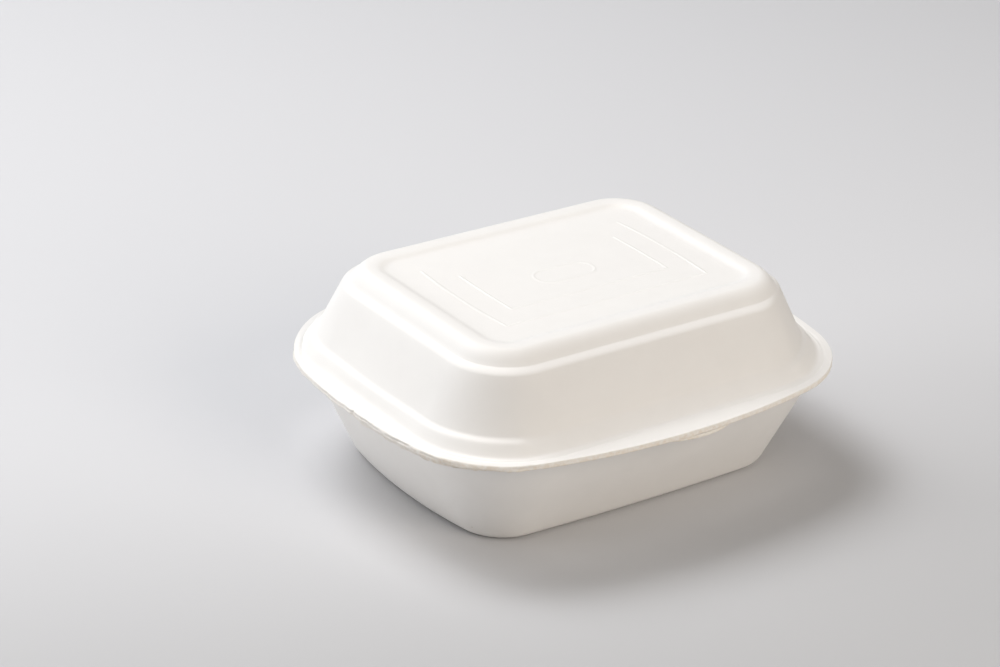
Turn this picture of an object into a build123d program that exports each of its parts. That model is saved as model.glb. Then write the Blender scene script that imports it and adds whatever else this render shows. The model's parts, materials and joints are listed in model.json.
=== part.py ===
from build123d import *
import math
import os

# Clamshell food container, moulded from one sheet: a tray and a lid joined by a fold along the back.
# Millimetres. The origin is the middle of the tray's base, +Z is up and the opening edge faces -Y.
# Seen from above, every outline lies at some distance outside one core rectangle, so the corners
# of the base, walls, shoulder and rim are all round the same four centres.

# Outline seen from above
core_length = 96.8          # straight part of the long sides
core_depth = 62.8           # straight part of the short sides
rim_width = 4.9             # flat of the lid's rim, from its side out to the plain trimmed edge
side_bow = 2.5              # how far each short side of the rim bulges
lid_front_bow = 5.4         # how far the lid's front rim bulges
tray_front_bow = 0.8        # how far the tray's front rim bulges

# Sheet and closing
sheet = 2.0                 # thickness of the moulded sheet
seat_gap = 0.2              # air between the closed rims
fold_gap = 0.15             # from the rims' back edge out to the line the lid turns on
fold_sheet = 1.0            # thickness of the pressed web in the fold

# Tray
tray_height = 41.4          # floor to the top of the tray's rim
base_reach = 19.1           # sharp corner of base and wall, outside the core
base_round = 6.0            # rounding under that corner
tray_rim_width = 5.4        # flat of the tray's rim, from its wall out to the plain trimmed edge
tray_rim_round = 2.5        # rounding between wall and rim
tab_radius = 32.5           # radius of the thumb tab on the tray's front rim
tab_proud = 0.4             # how far the thumb tab shows beyond the lid
tab_shift = 5.0             # the tab lies off centre, this far towards +X

# Lid, heights above its own lower face
crest_height = 33.6         # raised border of the top
panel_sink = 1.3            # the middle panel lies this far below the border
shoulder_drop = 5.0         # border down to the crease
ledge_drop = 1.1            # crease down to the outer edge of the ledge
bead_height = 7.4           # foot of the wall, at the back of the rim bead
bead_fall = 0.9             # fall across the top of the rim bead

# Lid, steps outwards from the core, each from the end of the one before
panel_reach = 8.1           # edge of the middle panel
border_lean = 2.5           # slope up to the raised border
border_width = 6.3          # raised border, to its sharp corner with the shoulder
shoulder_round = 8.0        # rounding over that corner
shoulder_lean = 3.7         # shoulder, down to the crease below it
ledge_width = 2.9           # ledge below the crease
ledge_round = 5.0           # rounding over its edge
wall_lean = 9.7             # wall, down to the back of the rim bead
bead_width = 2.1            # top of the rim bead
bead_round = 1.4            # rounding over its edge
bead_draft = 3.2            # lean of the bead's outer side, down to the flat rim
hollow_lead = 0.3           # long sides: a faint hollow in the bead's place has its middle this far
hollow_drop = 1.9           # outside the bead's edge, and this far below it
hollow_round = 12.0         # rounding along that hollow
bead_fade = 14.0            # length along which the bead runs out on the long sides

# Lid, small features
line_width = 0.9            # raised lines on the panel
line_height = 0.4
outer_line = (90.4, 55.6)   # outer raised rectangle, length and depth over the line
inner_line = (71.0, 33.8)   # inner raised rectangle
middle_ring = (26.0, 12.0)  # plain round-ended ring in the middle
groove_inset = 3.2          # middle of the rim groove, inside the plain rim
groove_width = 1.0
groove_depth = 0.3
pad_width = 38.0            # flat thumb pad at the front of the lid's rim
pad_inset = 6.0             # how far the pad reaches inside the plain rim

# Worked out from the sizes above
core_x = core_length / 2
core_y = core_depth / 2
border_reach = panel_reach + border_lean
shoulder_reach = border_reach + border_width
crease_reach = shoulder_reach + shoulder_lean
ledge_reach = crease_reach + ledge_width
bead_back_reach = ledge_reach + wall_lean
bead_edge_reach = bead_back_reach + bead_width
lid_wall_reach = bead_edge_reach + bead_draft
rim_reach = lid_wall_reach + rim_width
tray_wall_reach = rim_reach - tray_rim_width
lid_base = tray_height + seat_gap
panel_top = lid_base + crest_height - panel_sink
lid_rim_top = lid_base + sheet
flange_reach = rim_reach + lid_front_bow + tab_proud + sheet
plain_half_depth = core_y + rim_reach
hinge_y = plain_half_depth + fold_gap
hinge_z = tray_height + seat_gap / 2


def shifted(run, distance):
    """The run of points moved sideways, to the right of its direction, with mitred corners."""
    points = [Vector(*point) for point in run]
    steps = [(b - a).normalized() for a, b in zip(points, points[1:])]
    rights = [Vector(step.Y, -step.X) for step in steps]
    moved = []
    for point, before, after in zip(points, [rights[0]] + rights, rights + [rights[-1]]):
        moved.append(point + (before + after) * (distance / (1 + before.dot(after))))
    return moved


def section(run, outer_rounds, inner_rounds, thickness):
    """Slice through the sheet: one face follows the run, the other lies a thickness to its right.

    The rounds are the radii at the run's inner points, for each of the two faces.
    """
    other = shifted(run, thickness)
    ring = [Vector(*point) for point in run] + other[::-1]
    radii = [0] + outer_rounds + [0, 0] + inner_rounds[::-1] + [0]
    return make_face(Plane.XZ * FilletPolyline(ring, radius=radii, close=True))


def upright(face, bottom, height):
    """A flat outline as an upright block."""
    return Pos(0, 0, bottom) * extrude(face, amount=height, dir=(0, 0, 1))


def moulding(corner_slice, long_slice, plate_bottom):
    """The whole moulded sheet before trimming, with its slice run round the core rectangle.

    The corner slice goes round the corners and along the short sides. On the long sides it changes
    into the long slice over the fade length, and back again.
    """
    quarter = revolve(corner_slice, Axis.Z, 90)
    end = extrude(corner_slice, amount=core_depth, dir=(0, -1, 0))
    turned = [Rot(0, 0, 90) * face for face in (corner_slice, long_slice)]
    straight = core_x - bead_fade
    places = [(core_x, 0), (straight, 1), (-straight, 1), (-core_x, 0)]
    slices = [Pos(x, core_y) * turned[kind] for x, kind in places]
    spans = [loft([a, b], ruled=True) for a, b in zip(slices, slices[1:])]
    sheet_parts = [upright(Rectangle(core_length, core_depth), plate_bottom, sheet)]
    corners = [(core_x, core_y), (-core_x, core_y), (-core_x, -core_y), (core_x, -core_y)]
    for turn, (x, y) in enumerate(corners):
        sheet_parts.append(Pos(x, y) * Rot(0, 0, 90 * turn) * quarter)
    for turn in (0, 180):
        sheet_parts.append(Rot(0, 0, turn) * Pos(core_x, core_y) * end)
        sheet_parts += [Rot(0, 0, turn) * span for span in spans]
    return sheet_parts[0].fuse(*sheet_parts[1:]).clean()


def bow_tangent(half_side, bow):
    """Unit vector (along the side, outwards) from a corner's centre to where a bowed side leaves its arc."""
    scale = half_side ** 2 + bow ** 2
    return 2 * bow * half_side / scale, (half_side ** 2 - bow ** 2) / scale


def rim_outline(reach, front_bow):
    """Trimmed rim seen from above: straight back, bowed sides and front, all tangent to four corner arcs."""
    half_length = core_x + reach
    half_depth = core_y + reach
    along_side, out_side = bow_tangent(core_y, side_bow)
    along_front, out_front = bow_tangent(core_x, front_bow)

    def on_corner(sign, along, out):
        """Point of a right-hand corner arc, at the front (sign -1) or the back (sign 1)."""
        size = math.hypot(along, out)
        return core_x + reach * along / size, sign * (core_y + reach * out / size)

    def mirrored(point):
        return -point[0], point[1]

    front = on_corner(-1, along_front, out_front)
    side_front = on_corner(-1, out_side, along_side)
    side_back = on_corner(1, out_side, along_side)
    back = on_corner(1, 0, 1)
    front_corner = on_corner(-1, along_front + out_side, out_front + along_side)
    back_corner = on_corner(1, out_side, 1 + along_side)
    right = [
        ThreePointArc(front, front_corner, side_front),
        ThreePointArc(side_front, (half_length + side_bow, 0), side_back),
        ThreePointArc(side_back, back_corner, back),
    ]
    left = [
        ThreePointArc(mirrored(front), mirrored(front_corner), mirrored(side_front)),
        ThreePointArc(mirrored(side_front), (-half_length - side_bow, 0), mirrored(side_back)),
        ThreePointArc(mirrored(side_back), mirrored(back_corner), mirrored(back)),
    ]
    front_edge = ThreePointArc(mirrored(front), (0, -half_depth - front_bow), front)
    back_line = Line(back, mirrored(back))
    return make_face([front_edge] + right + [back_line] + left)


def make_tray():
    """Lower shell, trimmed to its rim outline with the round thumb tab at the front."""
    rim_bottom = tray_height - sheet
    run = [(0, 0), (base_reach, 0), (tray_wall_reach, rim_bottom), (flange_reach, rim_bottom)]
    outer_rounds = [base_round, tray_rim_round]
    inner_rounds = [base_round - sheet, tray_rim_round + sheet]
    wall_slice = section(run, outer_rounds, inner_rounds, -sheet)
    shell = moulding(wall_slice, wall_slice, 0)
    tab_front = -(plain_half_depth + lid_front_bow + tab_proud)
    tab = Pos(tab_shift, tab_front + tab_radius) * Circle(tab_radius)
    return shell & upright(rim_outline(rim_reach, tray_front_bow) + tab, 0, tray_height)


def lid_slice(rim_bend, bend_round):
    """Slice of the lid with the given bend, and its rounding, between the foot of its wall and its rim."""
    crest = crest_height
    crease = crest - shoulder_drop
    run = [
        (0, crest - panel_sink),
        (panel_reach, crest - panel_sink),
        (border_reach, crest),
        (shoulder_reach, crest),
        (crease_reach, crease),
        (ledge_reach, crease - ledge_drop),
        (bead_back_reach, bead_height),
        rim_bend,
        (lid_wall_reach, sheet),
        (flange_reach, sheet),
    ]
    outer_rounds = [0, 0, shoulder_round, 0, ledge_round, 0, bend_round, 0]
    inner_rounds = [0, 0, shoulder_round - sheet, 0, 0, 0, 0, 0]
    return Pos(0, 0, lid_base) * section(run, outer_rounds, inner_rounds, sheet)


def panel_lines():
    """Raised lines on the top panel: two rectangles and a plain ring in the middle."""
    lines = Sketch()
    for length, depth in (outer_line, inner_line):
        inside = Rectangle(length - 2 * line_width, depth - 2 * line_width)
        lines += Rectangle(length, depth) - inside
    length, depth = middle_ring
    lines += SlotOverall(length, depth) - SlotOverall(length - 2 * line_width, depth - 2 * line_width)
    return upright(lines, panel_top, line_height)


def rim_groove():
    """Thin groove along the lid's rim."""
    outer = rim_outline(rim_reach - groove_inset + groove_width / 2, tray_front_bow)
    inner = rim_outline(rim_reach - groove_inset - groove_width / 2, tray_front_bow)
    return upright(outer - inner, lid_rim_top - groove_depth, crest_height)


def thumb_pad():
    """Space above the flat thumb pad in the middle of the lid's front rim."""
    pad = Pos(0, -plain_half_depth) * Rectangle(pad_width, 2 * pad_inset)
    return upright(pad, lid_rim_top, crest_height)


def make_lid():
    """Upper shell with its raised lines, rim groove and thumb pad, trimmed to its bowed outline."""
    bead_edge_height = bead_height - bead_fall
    bead = lid_slice((bead_edge_reach, bead_edge_height), bead_round)
    hollow = lid_slice((bead_edge_reach + hollow_lead, bead_edge_height - hollow_drop), hollow_round)
    shell = moulding(bead, hollow, panel_top - sheet)
    pad = thumb_pad()
    shell = shell & upright(rim_outline(rim_reach, lid_front_bow), lid_base, crest_height)
    return shell + panel_lines() - pad - (rim_groove() - pad)


def make_hinge_fold():
    """Pressed web folded round the line that the lid turns on."""
    inside = seat_gap / 2
    outside = inside + fold_sheet
    legs = Pos(-fold_gap / 2, 0) * (Rectangle(fold_gap, 2 * outside) - Rectangle(fold_gap, 2 * inside))
    right_half = Pos(outside / 2, 0) * Rectangle(outside, 2 * outside)
    bend = (Circle(outside) - Circle(inside)) & right_half
    web = extrude(Plane.YZ * (legs + bend), amount=core_length / 2, both=True)
    return Pos(0, hinge_y, hinge_z) * web


os.makedirs("parts", exist_ok=True)
for node, shape in (("tray", make_tray()), ("lid", make_lid()), ("hinge_fold", make_hinge_fold())):
    export_step(shape, f"parts/{node}.step")
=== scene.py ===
import json
import math

import bpy
import numpy as np
from mathutils import Matrix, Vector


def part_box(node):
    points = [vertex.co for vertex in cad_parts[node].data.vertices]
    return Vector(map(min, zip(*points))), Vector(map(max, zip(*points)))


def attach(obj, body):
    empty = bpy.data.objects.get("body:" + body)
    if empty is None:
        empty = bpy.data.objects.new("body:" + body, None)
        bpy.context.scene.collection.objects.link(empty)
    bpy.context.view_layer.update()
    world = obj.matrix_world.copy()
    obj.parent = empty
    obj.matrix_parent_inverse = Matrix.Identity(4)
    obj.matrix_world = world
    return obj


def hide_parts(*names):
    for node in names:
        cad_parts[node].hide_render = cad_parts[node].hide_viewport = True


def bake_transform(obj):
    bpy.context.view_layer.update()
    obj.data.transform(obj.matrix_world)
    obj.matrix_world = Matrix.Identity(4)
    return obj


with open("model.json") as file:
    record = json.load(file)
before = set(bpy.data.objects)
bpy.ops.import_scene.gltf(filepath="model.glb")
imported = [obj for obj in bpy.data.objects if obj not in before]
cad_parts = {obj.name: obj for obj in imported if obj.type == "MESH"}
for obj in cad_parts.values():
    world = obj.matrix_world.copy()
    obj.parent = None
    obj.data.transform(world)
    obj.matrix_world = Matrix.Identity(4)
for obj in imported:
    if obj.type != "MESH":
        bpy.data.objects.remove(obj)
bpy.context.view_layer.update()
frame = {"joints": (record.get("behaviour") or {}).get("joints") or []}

# Clamshell food container of moulded plant fibre: a tray and a lid, joined by a fold along the back.
# Shapes are worked out in millimetres in the frame of the solids and become metres in the meshes.
# Seen from above, every outline lies at some reach outside one core rectangle. Each shell is a
# profile of (reach, height) carried once round that rectangle.

MM = 0.001

# Outline seen from above
CORE = np.array([48.4, 31.4])       # half length and half depth of the core rectangle
RIM_REACH = 43.4                    # plain trimmed rim
SIDE_BOW = 2.5                      # bulge of each short side of the rim
BACK_BOW = 0.01                     # the back is as good as straight
LID_FRONT_BOW = 5.5                 # bulge of the lid's front rim
TRAY_FRONT_BOW = 0.8                # bulge of the tray's front rim
BACK_TRIM = 2.3                     # the rim is trimmed this much closer at its back corners
TAB_RADIUS = 32.5                   # round thumb tab of the tray
TAB_PROUD = 0.3                     # how far it shows beyond the lid
TAB_SHIFT = 5.0                     # it lies off centre, towards +X

# Thickness of the sheet, and heights and places taken from the solids
SHEET = 2.0
TRAY_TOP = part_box("tray")[1].z / MM
LID_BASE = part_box("lid")[0].z / MM
LID_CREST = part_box("lid")[1].z / MM
HINGE = np.array(frame["joints"][0]["pos_m"]) / MM
FOLD_INSIDE = (LID_BASE - TRAY_TOP) / 2
FOLD_OUTSIDE = (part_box("hinge_fold")[1].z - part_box("hinge_fold")[0].z) / MM / 2
FOLD_ENDS = np.array([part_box("hinge_fold")[0].x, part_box("hinge_fold")[1].x]) / MM
FOLD_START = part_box("hinge_fold")[0].y / MM

# Tray profile
BASE_REACH = 18.0                   # base and wall, at the corners
TRAY_WALL_REACH = 36.9
TRAY_LONG_BOW = 1.1                 # bulge of the tray's long and short sides
TRAY_SIDE_BOW = 2.7
TRAY_SHIFT = 1.0                    # the tray lies off centre, towards +X
FRONT_SET_BACK = 3.0                # its rim is set back under the lid's at the front and right
LEFT_SET_BACK = 1.8                 # and less on the left
LAYER_SET_BACK = 0.7                # in front of the torn notch its edge shows below the lid's
EDGE_THINNING = 0.8                 # there the cut pressed the sheet thinner

# Lid profile
PANEL_TOP = LID_CREST - 1.3
LID_RIM_TOP = LID_BASE + SHEET
PANEL_REACH = 8.1
BORDER_REACH = 10.6
SHOULDER = np.array([16.9, LID_CREST])
CREASE = np.array([20.6, LID_CREST - 5.0])
LEDGE = np.array([23.5, LID_CREST - 6.1])
# Low bead above the rim, round the corners and short sides, and the plain slope on the long sides
BEAD_BACK = np.array([33.2, LID_BASE + 7.4])
BEAD_EDGE = np.array([35.3, LID_BASE + 6.5])
BEAD_FOOT = np.array([38.5, LID_RIM_TOP])
SLOPE_BACK = np.array([32.5, LID_BASE + 7.05])
SLOPE_FOOT = np.array([37.6, LID_RIM_TOP + 0.3])
BEAD_BOW = 0.9                      # bulge of the bead along the short sides
RIGHT_TUCK = np.array([-2.0, 0])    # the wall stands further in at the right-hand corners
RIGHT_FOOT_TUCK = np.array([-1.0, 0])

# Small features of the lid
LINE_HALF_WIDTH = 0.55
LINE_HEIGHT = 0.22
OUTER_LINE = np.array([44.75, 27.35])   # half sizes of the raised rectangles
INNER_LINE = np.array([35.05, 16.45])
OUTER_LINE_BOW = 1.3                # bulge of the rectangles' short sides
INNER_LINE_BOW = 0.3
FRONT_LINE_SHARE = 0.75             # the pressing is weaker along the front and nearly lost at the back
BACK_LINE_SHARE = 0.12
RING_HALF = np.array([12.55, 5.55])     # round-ended ring in the middle
GROOVE_INSET = 3.2
GROOVE_FRONT_BOW = 0.01
GROOVE_SIDE_BOW = 1.8               # the groove bulges less than the short sides of the rim
GROOVE_HALF_WIDTH = 0.65
GROOVE_DEPTH = 0.5                  # on the left, and shallower elsewhere
GROOVE_WANDER = 0.12                # how far it strays sideways where the cut is torn
PAD_HALF = 18.5                     # half width of the flat thumb pad
PAD_EASE = 8.0                      # length of the curve at each of its ends
PAD_FOOT = np.array([38.2, LID_RIM_TOP])   # inner edge of the pad
LIP_ROUND = 0.5                     # how far the lid's cut edge swings outwards from its top to its foot
LIP_LENGTH = 1.5                    # strip beside the cut, which falls where the cut pressed it
LIP_FALL = 0.35                     # how far it falls on the left
RAGGED_DROP = 0.6                   # how far torn fibre hangs below the cut
CRACK_DEPTH = 0.5                   # crack along the cut on the left, where the sheet has split in two
TRAY_LIP_ROUND = 0.3
RAW_ELSEWHERE = 0.45                # raw tint of the cut away from the front
RAW_RIGHT = 0.6                     # and of its front towards the right
LIP_STEP = 0.12                     # the rim's last row stops this far inside the cut
COVER = 0.6                         # the rows behind a cut edge start this far inside it
NOTCH_Y = -4.0                      # torn notch in the lid's left edge
NOTCH_HALF = 1.3
NOTCH_DEPTH = 0.6

# Spacing of the panel's grid lines, and how far the closer ones go beyond the ring and the ridges
PLAIN_STEP = 0.62
RING_STEP = 0.42
RIDGE_STEP = 0.28
RING_MARGIN = 1.2
RIDGE_MARGIN = 0.9
CORNER_STEPS = (40, 30, 30, 84)     # front right, back right, back left, front left
FOLD_TURNS = 17                     # points round the fold's half ring
FOLD_LENGTHS = 121                  # sections along the fold


def smooth(share):
    """Ease from 0 to 1: three times the square less twice the cube, flat outside that range."""
    share = np.clip(share, 0, 1)
    return share * share * (3 - 2 * share)


def mix(start, end, share):
    """Straight mix of two values."""
    return start + (end - start) * share


# The lap round the core

def grid_lines(half, ridges, ring_half):
    """Places from -half to half, closer together over the ring and at the ridges.

    The lines per millimetre are an even share with more over those stretches, and the places lie at
    equal steps of the running sum of that.
    """
    fine = np.linspace(-half, half, 8001)
    per_mm = np.full(fine.shape, 1 / PLAIN_STEP)
    per_mm[np.abs(fine) < ring_half + RING_MARGIN] = 1 / RING_STEP
    for ridge in ridges:
        per_mm[np.abs(np.abs(fine) - ridge) < RIDGE_MARGIN] = 1 / RIDGE_STEP
    running = np.concatenate(([0], np.cumsum((per_mm[1:] + per_mm[:-1]) / 2 * np.diff(fine))))
    return np.interp(np.linspace(0, running[-1], round(running[-1]) + 1), running, fine)


class Lap:
    """One lap of the core rectangle, anticlockwise from its front left corner.

    Along a side the place moves and the outward direction is fixed. At a corner the place is fixed
    and the direction turns by 90 degrees in equal steps.
    """

    def __init__(self):
        self.x_lines = grid_lines(CORE[0], (OUTER_LINE[0], INNER_LINE[0]), RING_HALF[0])
        self.y_lines = grid_lines(CORE[1], (OUTER_LINE[1], INNER_LINE[1]), RING_HALF[1])
        columns = len(self.x_lines)
        rows = len(self.y_lines)
        self.grid = np.arange(columns * rows).reshape(columns, rows)
        sides = [self.grid[:, 0], self.grid[-1, :], self.grid[::-1, -1], self.grid[0, ::-1]]
        numbers = []
        angles = []
        for turn, (side, steps) in enumerate(zip(sides, CORNER_STEPS)):
            start = (turn - 1) * math.pi / 2
            numbers += [side, np.full(steps, side[-1])]
            turned = np.arange(1, steps + 1) / (steps + 1) * math.pi / 2
            angles += [np.full(len(side), start), start + turned]
        self.number = np.concatenate(numbers)
        angle = np.concatenate(angles)
        self.place = np.stack([self.x_lines[self.number // rows], self.y_lines[self.number % rows]], -1)
        self.out = np.stack([np.cos(angle), np.sin(angle)], -1)
        self.size = len(self.number)
        rim = self.place + RIM_REACH * self.out
        steps = np.linalg.norm(np.roll(rim, -1, axis=0) - rim, axis=1)
        self.run = np.cumsum(steps) - steps
        self.length = steps.sum()

        # Shares from 0 to 1 by place and direction: long sides, corners, bulge of the short sides, thumb
        # pad, left side, front with the right side, and how torn the cut is
        self.long_side = smooth((np.abs(self.out[:, 1]) - 0.9) / 0.1)
        turn = np.abs(2 * self.out[:, 0] * self.out[:, 1])
        self.right_corner = turn ** 2 * (self.out[:, 0] > 0)
        self.back_corner = turn ** 1.5 * (self.out[:, 1] > 0)
        side_place = self.place[:, 1] / CORE[1]
        self.short_bow = (1 - side_place ** 2) ** 2 * (np.abs(self.out[:, 0]) > 0.999)
        front = self.out[:, 1] < -0.999
        self.pad = smooth((PAD_HALF + PAD_EASE / 2 - np.abs(self.place[:, 0])) / PAD_EASE) * front
        self.left = smooth((-self.out[:, 0] - 0.15) / 0.5) * (1 - smooth((self.out[:, 1] - 0.4) / 0.5))
        self.front_right = smooth((self.out @ (0.5, -0.87) + 0.1) / 0.7)
        self.torn = mix(0.22, 1, self.left) * (1 - smooth((self.out[:, 1] - 0.4) / 0.5))

    def wander(self, step, seed):
        """Seeded wandering from -1 to 1 along the rim: random values about every step millimetres,
        eased from one to the next, closing on itself."""
        count = round(self.length / step)
        values = np.random.default_rng(seed).uniform(-1, 1, count)
        place = self.run / self.length * count
        index = np.floor(place).astype(int)
        share = smooth(place - index)
        return mix(values[index % count], values[(index + 1) % count], share)


lap = Lap()


def circle_reach(centre, radius):
    """Distance from each place of the lap, along its direction, to the far side of a circle: the root of
    the quadratic for a ray and a circle. Where the ray misses, 0."""
    away = lap.place - centre
    along = (away * lap.out).sum(1)
    inside = along ** 2 - (away ** 2).sum(1) + radius ** 2
    return np.where(inside > 0, np.sqrt(np.maximum(inside, 0)) - along, 0)


def outline_reach(reach, front_bow, side_bow=SIDE_BOW, back_bow=BACK_BOW, shift=0):
    """Reach of a trimmed outline: bowed sides that run tangent into four corner arcs of radius reach.

    A bow of height b over a half side c is an arc of radius reach + (c * c + b * b) / (2 * b). It
    leaves the corner's arc at twice the angle whose tangent is b / c, so each ray takes the corner's
    arc between two such angles and a bow outside them.
    """
    offset = np.array([shift, 0])
    sides = [((0, -1), CORE[0], front_bow), ((1, 0), CORE[1], side_bow),
             ((0, 1), CORE[0], back_bow), ((-1, 0), CORE[1], side_bow)]
    signs = np.where(lap.place + lap.out * 1e-6 < 0, -1, 1)
    corner = signs * CORE + offset
    away = lap.place - corner
    along = (away * lap.out).sum(1)
    result = np.sqrt(np.maximum(along ** 2 - (away ** 2).sum(1) + reach ** 2, 0)) - along
    hit = (lap.place + result[:, None] * lap.out - corner) / reach
    for direction, half, bow in sides:
        direction = np.array(direction)
        far = (half ** 2 + bow ** 2) / (2 * bow)
        depth = CORE @ np.abs(direction)
        centre = direction * (depth + bow - far) + offset
        sideways = np.abs(direction[::-1])
        beyond = (hit * signs) @ sideways < math.sin(2 * math.atan(bow / half))
        facing = lap.out @ direction > 0.5
        result = np.where(beyond & facing, circle_reach(centre, reach + far), result)
    return result


# Profiles

def points_of(*corners):
    """Corners of a profile as one array (corner, sample of the lap, reach and height)."""
    filled = [np.stack(np.broadcast_arrays(*corner, np.zeros(lap.size))[:2], -1) for corner in corners]
    return np.stack(filled)


def unit(vectors):
    """The vectors at length one."""
    return vectors / np.maximum(np.linalg.norm(vectors, axis=-1, keepdims=True), 1e-9)


def shifted(points, distance):
    """The profile moved to the right of its run by the distance, with mitred corners.

    Each corner moves along the sum of the two neighbouring right-hand directions, by the distance
    over one plus their dot product.
    """
    steps = unit(points[1:] - points[:-1])
    rights = np.stack([steps[..., 1], -steps[..., 0]], -1)
    before = np.concatenate([rights[:1], rights])
    after = np.concatenate([rights, rights[-1:]])
    return points + (before + after) * distance / (1 + (before * after).sum(-1, keepdims=True))


def rounded(points, trims, bends, straights):
    """Profile rows through the corners, each inner corner replaced by a parabola.

    The parabola is the quadratic Bezier curve from one trim length before the corner to another
    after it, with the corner as its middle control, so it touches both sides. Where the trims at the
    two ends of a stretch need more than its length, both shrink alike. Straight stretches between two
    bends are divided evenly.
    """
    before, after = (np.stack([np.broadcast_to(trim[end], lap.size) for trim in trims]) for end in (0, 1))
    none = np.zeros((1, lap.size))
    lengths = np.linalg.norm(points[1:] - points[:-1], axis=-1)
    wanted = np.concatenate([none, after]) + np.concatenate([before, none])
    share = np.minimum(1, 0.96 * lengths / np.maximum(wanted, 1e-9))
    before = before * share[:-1]
    after = after * share[1:]
    rows = [points[:1]]
    last = points[0]
    for index, bend in enumerate(bends):
        corner = points[index + 1]
        start = corner + unit(points[index] - corner) * before[index][:, None]
        end = corner + unit(points[index + 2] - corner) * after[index][:, None]
        share = np.linspace(0, 1, straights[index] + 2)[1:-1, None, None]
        rows.append(mix(last, start, share))
        share = np.linspace(0, 1, bend)[:, None, None]
        rows.append((1 - share) ** 2 * start + 2 * share * (1 - share) * corner + share ** 2 * end)
        last = end
    share = np.linspace(0, 1, straights[-1] + 2)[1:-1, None, None]
    rows += [mix(last, points[-1], share), points[-1:]]
    return np.concatenate(rows)


def torn_edge(reach, top, bottom, swing, crack, seed):
    """Rows over a cut edge, from its upper to its lower corner, uneven as torn fibre.

    The reach follows a quarter of an ellipse, which swings outwards from top to bottom. It wanders along
    the rim at two lengths, together for all rows, and each pair of rows has a finer wander of its own,
    strong on the left and weak elsewhere. Both corners are broken, the middle row lies deeper by the
    crack, and fibre hangs below the last rows where a wander is above zero.
    """
    common = 0.22 * lap.wander(5.0, seed) + 0.14 * lap.wander(2.1, seed + 1)
    shares = [0, 0.1, 0.36, 0.47, 0.58, 0.9, 1]
    backs = [0.10, 0.02, 0.0, 0.0, 0.02, 0.0, 0.12]
    own = [0.08, 0.10, 0.12, 0.12, 0.20, 0.20, 0.18]
    hanging = np.maximum(lap.wander(3.4, seed + 7), 0) ** 2 + 0.6 * np.maximum(lap.wander(1.2, seed + 8), 0)
    bottom = bottom - RAGGED_DROP * lap.torn * hanging
    rows = []
    for index, (share, back, size) in enumerate(zip(shares, backs, own)):
        wave = common + size * lap.wander(1.3, seed + 2 + index // 2)
        inwards = back + swing * (1 - math.sqrt(1 - (1 - share) ** 2))
        if index == len(shares) // 2:
            inwards = inwards + crack
        out = reach - inwards + lap.torn * wave
        rows.append(np.stack([out, mix(top, bottom, share) + np.zeros(lap.size)], -1))
    return np.stack(rows)


# Meshes

def put_mesh(name, points, faces, attribute=None):
    """A smooth mesh object of the points, in millimetres, and lists of faces with equal counts."""
    mesh = bpy.data.meshes.new(name)
    mesh.vertices.add(len(points))
    mesh.vertices.foreach_set("co", (points * MM).astype(np.float32).ravel())
    loops = np.concatenate([group.ravel() for group in faces])
    counts = np.concatenate([np.full(len(group), group.shape[1]) for group in faces])
    mesh.loops.add(len(loops))
    mesh.loops.foreach_set("vertex_index", loops.astype(np.int32))
    mesh.polygons.add(len(counts))
    mesh.polygons.foreach_set("loop_start", (np.cumsum(counts) - counts).astype(np.int32))
    mesh.update(calc_edges=True)
    mesh.polygons.foreach_set("use_smooth", np.ones(len(counts), bool))
    if attribute is not None:
        layer = mesh.attributes.new("cut_edge", "FLOAT", "POINT")
        layer.data.foreach_set("value", attribute.astype(np.float32))
    piece = bpy.data.objects.new(name, mesh)
    bpy.context.scene.collection.objects.link(piece)
    return piece


def shell(name, rows, cut, panel_height):
    """Closed shell: a panel over the core rectangle, a ring of points for each profile row, and a flat
    face over the core at the height of the last row.

    A point lies at its place on the core plus its reach along the outward direction, at the row's
    height. The first and last rows have no reach, so their corner samples share one point.
    """
    grid_x, grid_y = np.meshgrid(lap.x_lines, lap.y_lines, indexing="ij")
    if np.ndim(panel_height) == 0:
        corners, first = np.unique(lap.number, return_inverse=True)
        panel_faces = []
    else:
        corners = np.arange(lap.grid.size)
        first = lap.number
        block = lap.grid
        quads = [block[:-1, :-1], block[1:, :-1], block[1:, 1:], block[:-1, 1:]]
        panel_faces = [np.stack(quads, -1).reshape(-1, 4)]
    heights = np.broadcast_to(panel_height, lap.grid.shape).ravel()[corners]
    panel = np.stack([grid_x.ravel()[corners], grid_y.ravel()[corners], heights], -1)

    middle = rows[1:-1]
    flat = lap.place + middle[..., :1] * lap.out
    band = np.concatenate([flat, middle[..., 1:]], -1).reshape(-1, 3)
    edge_numbers, last = np.unique(lap.number, return_inverse=True)
    edge_height = np.full(len(edge_numbers), rows[-1, 0, 1])
    closing = np.stack([grid_x.ravel()[edge_numbers], grid_y.ravel()[edge_numbers], edge_height], -1)

    band_rings = len(panel) + np.arange(len(band)).reshape(len(middle), lap.size)
    rings = np.concatenate([first[None], band_rings, last[None] + len(panel) + len(band)])
    inner = rings[:-1]
    outer = rings[1:]
    inner_next = np.roll(inner, -1, axis=1)
    outer_next = np.roll(outer, -1, axis=1)
    quads = np.stack([inner, outer, outer_next, inner_next], -1).reshape(-1, 4)
    at_first = quads[:, 0] == quads[:, 3]
    at_last = quads[:, 1] == quads[:, 2]
    triangles = [quads[at_first][:, :3], quads[at_last][:, [0, 1, 3]]]
    faces = panel_faces + [quads[~at_first & ~at_last]] + triangles
    around = np.flatnonzero(np.roll(lap.number, -1) != lap.number)
    if not panel_faces:
        faces.append(first[around][None])
    faces.append(rings[-1][around][::-1][None])
    points = np.concatenate([panel, band, closing])
    weight = np.concatenate([np.zeros(len(panel)), cut[1:-1].ravel(), np.zeros(len(closing))])
    return put_mesh(name, points, faces, weight)


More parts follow.
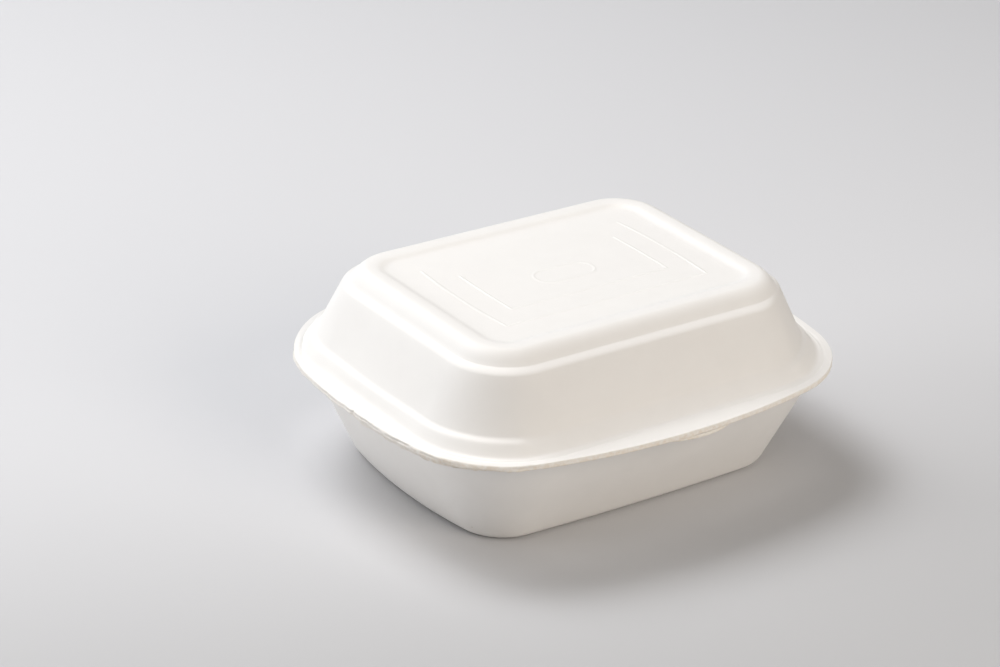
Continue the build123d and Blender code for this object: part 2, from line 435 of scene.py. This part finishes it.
def line_height(x, y):
    """Height of the raised lines on the lid's panel, an eased ridge by the distance to the nearest line.

    Each rectangle has two bowed sides, a lower front and a back that hardly shows. The round-ended ring
    in the middle is all points at equal distance from a short line.
    """
    height = np.zeros(x.shape)
    for half, bow in ((OUTER_LINE, OUTER_LINE_BOW), (INNER_LINE, INNER_LINE_BOW)):
        share = np.clip(y / half[1], -1, 1)
        past_end = np.maximum(np.abs(y) - half[1], 0)
        side = np.hypot(np.abs(x) - half[0] - bow * (1 - share ** 2), past_end)
        across = np.maximum(np.abs(x) - half[0], 0)
        front = np.hypot(y + half[1], across)
        back = np.hypot(y - half[1], across)
        for distance, strength in ((side, 1), (front, FRONT_LINE_SHARE), (back, BACK_LINE_SHARE)):
            height = np.maximum(height, strength * smooth(1 - distance / LINE_HALF_WIDTH))
    straight = RING_HALF[0] - RING_HALF[1]
    distance = np.abs(np.hypot(np.maximum(np.abs(x) - straight, 0), y) - RING_HALF[1])
    height = np.maximum(height, smooth(1 - distance / LINE_HALF_WIDTH))
    return height * LINE_HEIGHT


def cut_weights(plain_before, shares, plain_after):
    """How raw each row is: 0 on moulded rows, and on the cut rows their share, full along the left half
    of the front and the near left corner, and weaker elsewhere."""
    frontness = smooth((lap.out @ (-0.25, -0.97) - 0.2) / 0.5)
    frontness = frontness * mix(1, RAW_RIGHT, smooth((lap.place[:, 0] + 20) / 60))
    raw = np.array(shares)[:, None] * mix(RAW_ELSEWHERE, 1, frontness)
    return np.concatenate([np.zeros((plain_before, lap.size)), raw, np.zeros((plain_after, lap.size))])


def make_lid():
    """Upper shell: raised border, domed shoulder, ledge, wall, rim bead or slope, grooved rim, torn edge.

    The lists for each profile are the trims before and after its corners, the rows in each bend, and
    the rows on each stretch between two bends.
    """
    notch = smooth(1 - np.abs(lap.place[:, 1] - NOTCH_Y) / NOTCH_HALF) * (lap.out[:, 0] < -0.999)
    edge = outline_reach(RIM_REACH, LID_FRONT_BOW) - NOTCH_DEPTH * notch - BACK_TRIM * lap.back_corner
    groove = outline_reach(RIM_REACH - GROOVE_INSET, GROOVE_FRONT_BOW, GROOVE_SIDE_BOW)
    groove += GROOVE_WANDER * lap.torn * lap.wander(3.0, 71) - BACK_TRIM * lap.back_corner
    groove_depth = GROOVE_DEPTH * mix(0.4, 1, lap.left) * (1 - lap.pad) * (1 + 0.35 * lap.wander(2.2, 72))
    edge_top = LID_RIM_TOP - LIP_FALL * lap.left
    long_side = lap.long_side[:, None]
    right_corner = lap.right_corner[:, None]
    bead_step = RIGHT_TUCK * right_corner + np.array([BEAD_BOW, 0]) * lap.short_bow[:, None]
    ledge = LEDGE + RIGHT_TUCK * right_corner
    bead_back = mix(BEAD_BACK, SLOPE_BACK, long_side) + bead_step
    bead_edge = mix(BEAD_EDGE, (SLOPE_BACK + SLOPE_FOOT) / 2, long_side) + bead_step
    foot = mix(BEAD_FOOT, SLOPE_FOOT, long_side) + RIGHT_FOOT_TUCK * right_corner
    foot = mix(foot, PAD_FOOT, lap.pad[:, None])
    crack = CRACK_DEPTH * lap.left * smooth(0.6 + 0.9 * lap.wander(6.0, 75))
    cut_rows = torn_edge(edge, edge_top, LID_BASE, LIP_ROUND * mix(0.3, 1, lap.left), crack, 11)
    upper = [
        (0, PANEL_TOP),
        (PANEL_REACH, PANEL_TOP),
        (BORDER_REACH, LID_CREST),
        tuple(SHOULDER),
        tuple(CREASE),
        tuple(ledge.T),
        tuple(bead_back.T),
        tuple(bead_edge.T),
        tuple(foot.T),
    ]
    rim = [
        (groove - GROOVE_HALF_WIDTH, LID_RIM_TOP),
        (groove, LID_RIM_TOP - groove_depth),
        (groove + GROOVE_HALF_WIDTH, LID_RIM_TOP),
        (edge - LIP_LENGTH, LID_RIM_TOP),
        (cut_rows[0, :, 0] - LIP_STEP, edge_top),
    ]
    foot_trim = mix(mix(1.2, 0.6, lap.long_side), 0.8, lap.pad)
    outer = rounded(
        points_of(*upper, *rim),
        [(1.6, 1.3), (1.3, 2.6), (2.6, 4.6), (0.2, 0.25), (2.6, 1.1), (0.8, 0.8), (0.9, 0.9),
         (foot_trim, foot_trim), (0.4, 0.4), (0.5, 0.5), (0.4, 0.4), (0.7, 0.5)],
        [4, 5, 9, 3, 6, 4, 5, 5, 3, 3, 3, 3],
        [1, 0, 0, 0, 0, 4, 0, 1, 0, 0, 0, 1, 0],
    )
    under = shifted(points_of(*upper, (edge + SHEET, LID_RIM_TOP)), SHEET)
    under[-1, :, 0] = edge - COVER
    under[-1, :, 1] = LID_BASE
    inner = rounded(
        under[::-1],
        [(0.6, 0.6), (0.6, 0.6), (0.5, 0.5), (0.8, 1.2), (0.4, 0.4), (4.0, 3.0), (0.6, 0.6), (0.6, 0.6)],
        [2, 2, 2, 3, 2, 4, 2, 2],
        [0, 0, 0, 1, 0, 0, 0, 0, 0],
    )
    rows = np.concatenate([outer, cut_rows, inner])
    cut = cut_weights(len(outer), [0.1, 0.55, 0.7, 1, 0.8, 0.9, 1], len(inner))
    grid_x, grid_y = np.meshgrid(lap.x_lines, lap.y_lines, indexing="ij")
    return shell("lid_shell", rows, cut, PANEL_TOP + line_height(grid_x, grid_y))


def make_tray():
    """Lower shell: inner floor and wall, rim with its round thumb tab and torn edge, outer wall, base."""
    rim_bottom = TRAY_TOP - SHEET
    tab_front = CORE[1] + RIM_REACH + LID_FRONT_BOW + TAB_PROUD
    tab = circle_reach(np.array([TAB_SHIFT, TAB_RADIUS - tab_front]), TAB_RADIUS)
    showing = smooth((NOTCH_Y - lap.place[:, 1]) / 4)
    left_set_back = mix(LEFT_SET_BACK, LAYER_SET_BACK, showing) * lap.left
    set_back = mix(left_set_back, FRONT_SET_BACK, lap.front_right)
    plain = outline_reach(RIM_REACH, TRAY_FRONT_BOW) - set_back - BACK_TRIM * lap.back_corner
    edge = np.maximum(plain, tab * (lap.out[:, 1] < -0.5))
    base = outline_reach(BASE_REACH, TRAY_LONG_BOW, TRAY_SIDE_BOW, TRAY_LONG_BOW, TRAY_SHIFT)
    wall = outline_reach(TRAY_WALL_REACH, TRAY_LONG_BOW, TRAY_SIDE_BOW, TRAY_LONG_BOW, TRAY_SHIFT)
    run = points_of((0, 0), (base, 0), (wall, rim_bottom), (edge + SHEET, rim_bottom))
    inside = shifted(run, -SHEET)
    edge_bottom = rim_bottom + EDGE_THINNING * np.maximum(lap.left, lap.front_right)
    inside[-1, :, 0] = edge - COVER
    run[-1, :, 0] = edge - COVER
    run[-1, :, 1] = edge_bottom
    inner = rounded(inside, [(2.5, 2.5), (2.8, 2.8)], [6, 6], [0, 3, 1])
    outer = rounded(run[::-1], [(1.57, 1.57), (3.78, 3.78)], [6, 9], [1, 5, 0])
    cut_rows = torn_edge(edge, TRAY_TOP, edge_bottom, TRAY_LIP_ROUND, 0, 41)
    rows = np.concatenate([inner, cut_rows, outer])
    cut = cut_weights(len(inner), [0.3, 0.7, 0.8, 0.9, 1, 0.8, 0.5], len(outer))
    return shell("tray_shell", rows, cut, SHEET)


def make_fold():
    """Pressed web in the fold: a half ring about the hinge line with short legs, drawn along the back.

    Its section runs round the outside, from the tray's leg to the lid's, and back round the inside.
    """
    turn = np.linspace(-math.pi / 2, math.pi / 2, FOLD_TURNS)
    leg = FOLD_START - HINGE[1]
    outside = np.stack([np.cos(turn), np.sin(turn)], -1) * FOLD_OUTSIDE
    inside = np.stack([np.cos(turn), np.sin(turn)], -1)[::-1] * FOLD_INSIDE
    legs = np.array([[leg, -FOLD_OUTSIDE], [leg, FOLD_OUTSIDE], [leg, FOLD_INSIDE], [leg, -FOLD_INSIDE]])
    section = np.concatenate([legs[:1], outside, legs[1:3], inside, legs[3:]])
    along = np.linspace(*FOLD_ENDS, FOLD_LENGTHS)
    x, y = np.meshgrid(along, section[:, 0], indexing="ij")
    z = np.broadcast_to(section[:, 1], x.shape)
    points = np.stack([x, y + HINGE[1], z + HINGE[2]], -1).reshape(-1, 3)
    ring = np.arange(len(points)).reshape(x.shape)
    here = ring[:-1]
    ahead = ring[1:]
    quads = np.stack([here, ahead, np.roll(ahead, -1, axis=1), np.roll(here, -1, axis=1)], -1)
    ends = [ring[0][None], ring[-1][::-1][None]]
    return put_mesh("fold_web", points, [quads.reshape(-1, 4), *ends], np.zeros(len(points)))


# Materials

# Sizes of the patterns, in millimetres
CLOUD_SIZE = 9.0                    # soft clouding of the pressed fibre
FIBRE_SIZE = 1.6                    # loose fibre in the cut, drawn coarser than it is so that it shows
GRAIN_SIZE = 0.7                    # grain of the mould's surface, drawn coarser too
GRAIN_HEIGHT = 0.05
SPECK_SPACING = 6.0
SPECK_SHARE = 0.14                  # share of the spaces that hold a speck
SPECK_RADII = (0.45, 0.3)           # a speck's outer edge and its full core
SPECK_TOP = 38.0                    # specks lie below this height

# Painted shade on the floor: its colour darkens towards the front, standing in for the light falling off
# there and deepening the box's shadow. It changes along a direction from the front to the back, between two
# places in metres
AWAY = (0.23, 0.97, 0)
PAINTED_SHADE_START = -0.2
PAINTED_SHADE_END = 0.1


def linear(code):
    """Linear colour of an sRGB hex value."""
    parts = np.array([int(code[start:start + 2], 16) for start in (0, 2, 4)]) / 255
    parts = np.where(parts <= 0.04045, parts / 12.92, ((parts + 0.055) / 1.055) ** 2.4)
    return (*parts, 1.0)


def add_node(tree, kind, settings=None, **inputs):
    """A node with its settings; each input is a value or another node's output socket."""
    node = tree.nodes.new(kind)
    for key, value in (settings or {}).items():
        setattr(node, key, value)
    for key, value in inputs.items():
        name = key.replace("_", " ")
        socket = node.inputs[int(name[1:])] if name[0] == "i" and name[1:].isdigit() else node.inputs[name]
        if isinstance(value, bpy.types.NodeSocket):
            tree.links.new(value, socket)
        else:
            socket.default_value = value
    return node


def new_material(name):
    """An empty node material and its output node."""
    material = bpy.data.materials.new(name)
    material.use_nodes = True
    material.node_tree.nodes.clear()
    return material, add_node(material.node_tree, "ShaderNodeOutputMaterial")


def moulded_fibre():
    """Moulded plant fibre, pressed smooth in a hot mould: warm white, satin-matt, faintly clouded, with
    a rare brown speck below the rim, and tan raw fibre where the rim was cut."""
    material, output = new_material("moulded_plant_fibre")
    tree = material.node_tree
    where = add_node(tree, "ShaderNodeTexCoord").outputs["Object"]
    cloud = add_node(tree, "ShaderNodeTexNoise", Vector=where, Scale=1 / (CLOUD_SIZE * MM), Detail=3.0)
    colour = add_node(tree, "ShaderNodeMix", {"data_type": "RGBA"}, Factor=cloud.outputs["Fac"],
                      i6=linear("F1EFEC"), i7=linear("F5F3F0"))
    edge = add_node(tree, "ShaderNodeAttribute", {"attribute_name": "cut_edge"})
    fibre = add_node(tree, "ShaderNodeTexNoise", Vector=where, Scale=1 / (FIBRE_SIZE * MM), Detail=4.0)
    rough_share = add_node(tree, "ShaderNodeMapRange", Value=fibre.outputs["Fac"], i1=0.35, i2=0.7)
    raw = add_node(tree, "ShaderNodeMix", {"data_type": "RGBA"}, Factor=rough_share.outputs["Result"],
                   i6=linear("F9F4EC"), i7=linear("EEE2D1"))
    tinted = add_node(tree, "ShaderNodeMix", {"data_type": "RGBA"}, Factor=edge.outputs["Fac"],
                      i6=colour.outputs[2], i7=raw.outputs[2])
    cell = add_node(tree, "ShaderNodeTexVoronoi", Vector=where, Scale=1 / (SPECK_SPACING * MM))
    rare = add_node(tree, "ShaderNodeSeparateColor", Color=cell.outputs["Color"])
    chosen = add_node(tree, "ShaderNodeMath", {"operation": "GREATER_THAN"}, i0=rare.outputs["Red"],
                      i1=1 - SPECK_SHARE)
    inside = add_node(tree, "ShaderNodeMapRange", Value=cell.outputs["Distance"],
                      i1=SPECK_RADII[0] / SPECK_SPACING, i2=SPECK_RADII[1] / SPECK_SPACING)
    height = add_node(tree, "ShaderNodeSeparateXYZ", Vector=where)
    below = add_node(tree, "ShaderNodeMath", {"operation": "LESS_THAN"}, i0=height.outputs["Z"],
                     i1=SPECK_TOP * MM)
    on_tray = add_node(tree, "ShaderNodeMath", {"operation": "MULTIPLY"}, i0=below.outputs["Value"],
                       i1=inside.outputs["Result"])
    speck = add_node(tree, "ShaderNodeMath", {"operation": "MULTIPLY"}, i0=chosen.outputs["Value"],
                     i1=on_tray.outputs["Value"])
    specked = add_node(tree, "ShaderNodeMix", {"data_type": "RGBA"}, Factor=speck.outputs["Value"],
                       i6=tinted.outputs[2], i7=linear("A89A86"))
    grain = add_node(tree, "ShaderNodeTexNoise", Vector=where, Scale=1 / (GRAIN_SIZE * MM), Detail=2.0)
    bump = add_node(tree, "ShaderNodeBump", Strength=0.12, Distance=GRAIN_HEIGHT * MM,
                    Height=grain.outputs["Fac"])
    shader = add_node(tree, "ShaderNodeBsdfPrincipled", Base_Color=specked.outputs[2], Roughness=0.55,
                      IOR=1.45, Normal=bump.outputs["Normal"])
    tree.links.new(shader.outputs["BSDF"], output.inputs["Surface"])
    return material


def backdrop_paper_painted_shade():
    """Pale studio paper under the box, with painted shade: its colour darkens towards the front, where the
    light falls off and the box's shadow lies.
    """
    material, output = new_material("pale_paper_painted_shade")
    tree = material.node_tree
    where = add_node(tree, "ShaderNodeTexCoord").outputs["Object"]
    away = add_node(tree, "ShaderNodeVectorMath", {"operation": "DOT_PRODUCT"}, i0=where, i1=AWAY)
    share = add_node(tree, "ShaderNodeMapRange", {"interpolation_type": "SMOOTHSTEP"},
                     Value=away.outputs["Value"], i1=PAINTED_SHADE_START, i2=PAINTED_SHADE_END)
    # painted shade: the paper's colour goes from a darker front colour to a lighter back colour
    painted_shade = add_node(tree, "ShaderNodeMix", {"data_type": "RGBA"}, Factor=share.outputs["Result"],
                    i6=linear("BFBFC0"), i7=linear("DADADC"))
    shader = add_node(tree, "ShaderNodeBsdfPrincipled", Base_Color=painted_shade.outputs[2], Roughness=0.9,
                      Specular_IOR_Level=0.1)
    tree.links.new(shader.outputs["BSDF"], output.inputs["Surface"])
    return material


# Studio

CAMERA_AZIMUTH = math.radians(-35.52)
CAMERA_ELEVATION = math.radians(25.29)
CAMERA_ROLL = math.radians(2.0)
CAMERA_DISTANCE = 1.16972
CAMERA_TARGET = np.array([-29.19, -1.70, 56.77]) * MM
CAMERA_LENS = 115.56
SENSOR = 36.0
LAMP_TARGET = np.array([0, 0, 0.04])
FLOOR_HALF = 4000.0                 # half a side of the paper, in millimetres
ROOM_LIGHT = 0.07                   # strength of the room's light on the box
ROOM_SEEN = 0.75                    # and of the backdrop past the floor, as the camera sees it
COOL = "FAFBFD"
PLAIN = "FCFBFA"
WARM = "FFF5E9"
LAMPS = [                           # name, azimuth, elevation, distance, width, height, power, colour
    ("key_softbox", 35, 49, 1.5, 0.8, 0.8, 6.6, COOL),
    ("back_softbox", 15, 60, 1.5, 0.8, 0.8, 11.5, COOL),
    ("left_softbox", 75, 52, 1.5, 0.9, 0.9, 0.8, COOL),
    ("top_softbox", 45, 70, 1.5, 0.8, 0.8, 1.6, COOL),
    ("low_left_card", 61, 14, 1.6, 1.0, 0.4, 7.5, PLAIN),
    ("front_card", 191, 27, 1.6, 1.0, 0.8, 11.4, WARM),
    ("right_card", 222, 26, 1.6, 1.4, 1.0, 1.0, WARM),
    ("high_card", 192, 64, 1.5, 0.8, 0.8, 2.6, COOL),
]


def make_camera():
    """Camera on a sphere round its target, turned by azimuth, elevation and roll."""
    back = np.array([
        math.sin(CAMERA_AZIMUTH) * math.cos(CAMERA_ELEVATION),
        -math.cos(CAMERA_AZIMUTH) * math.cos(CAMERA_ELEVATION),
        math.sin(CAMERA_ELEVATION),
    ])
    level = np.array([math.cos(CAMERA_AZIMUTH), math.sin(CAMERA_AZIMUTH), 0])
    plumb = np.cross(back, level)
    right = math.cos(CAMERA_ROLL) * level + math.sin(CAMERA_ROLL) * plumb
    up = math.cos(CAMERA_ROLL) * plumb - math.sin(CAMERA_ROLL) * level
    place = np.eye(4)
    place[:3, :] = np.stack([right, up, back, CAMERA_TARGET + back * CAMERA_DISTANCE], -1)
    data = bpy.data.cameras.new("camera")
    data.lens = CAMERA_LENS
    data.sensor_width = SENSOR
    data.clip_end = 20
    camera = bpy.data.objects.new("camera", data)
    bpy.context.scene.collection.objects.link(camera)
    camera.matrix_world = Matrix(place.tolist())
    bpy.context.scene.camera = camera


def make_lamp(name, azimuth, elevation, distance, width, height, power, code):
    """Rectangular soft lamp, in metres and watts, that faces the middle of the box.

    Its azimuth turns from straight behind the box towards its left, and both angles are in degrees.
    """
    data = bpy.data.lights.new(name, "AREA")
    data.shape = "RECTANGLE"
    data.size = width
    data.size_y = height
    data.energy = power
    data.color = linear(code)[:3]
    lamp = bpy.data.objects.new(name, data)
    bpy.context.scene.collection.objects.link(lamp)
    turn = math.radians(azimuth)
    tilt = math.radians(elevation)
    back = np.array([-math.sin(turn) * math.cos(tilt), math.cos(turn) * math.cos(tilt), math.sin(tilt)])
    right = unit(np.cross([0, 0, 1], back))
    turned = np.eye(4)
    turned[:3, :] = np.stack([right, np.cross(back, right), back, LAMP_TARGET + back * distance], -1)
    lamp.matrix_world = Matrix(turned.tolist())


def make_floor():
    """Large square sheet of paper at the height that the base rests on."""
    signs = np.array([[-1, -1, 0], [1, -1, 0], [1, 1, 0], [-1, 1, 0]])
    floor = put_mesh("floor", FLOOR_HALF * signs, [np.arange(4)[None]])
    floor.data.materials.append(backdrop_paper_painted_shade())


def make_world():
    """Faint even room light, seen as pale grey by the camera."""
    world = bpy.data.worlds.new("room")
    world.use_nodes = True
    tree = world.node_tree
    tree.nodes.clear()
    path = add_node(tree, "ShaderNodeLightPath")
    strength = add_node(tree, "ShaderNodeMapRange", Value=path.outputs["Is Camera Ray"],
                        i3=ROOM_LIGHT, i4=ROOM_SEEN)
    light = add_node(tree, "ShaderNodeBackground", Color=linear("FFFCF8"),
                     Strength=strength.outputs["Result"])
    output = add_node(tree, "ShaderNodeOutputWorld")
    tree.links.new(light.outputs["Background"], output.inputs["Surface"])
    bpy.context.scene.world = world


bpy.context.scene.view_settings.view_transform = "Standard"
fibre_material = moulded_fibre()
for piece, body in ((make_lid(), "lid"), (make_tray(), "tray")):
    piece.data.materials.append(fibre_material)
    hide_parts(body)
    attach(piece, body)
web = make_fold()
web.data.materials.append(fibre_material)
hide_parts("hinge_fold")
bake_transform(web)

make_floor()
make_world()
make_camera()
for lamp in LAMPS:
    make_lamp(*lamp)
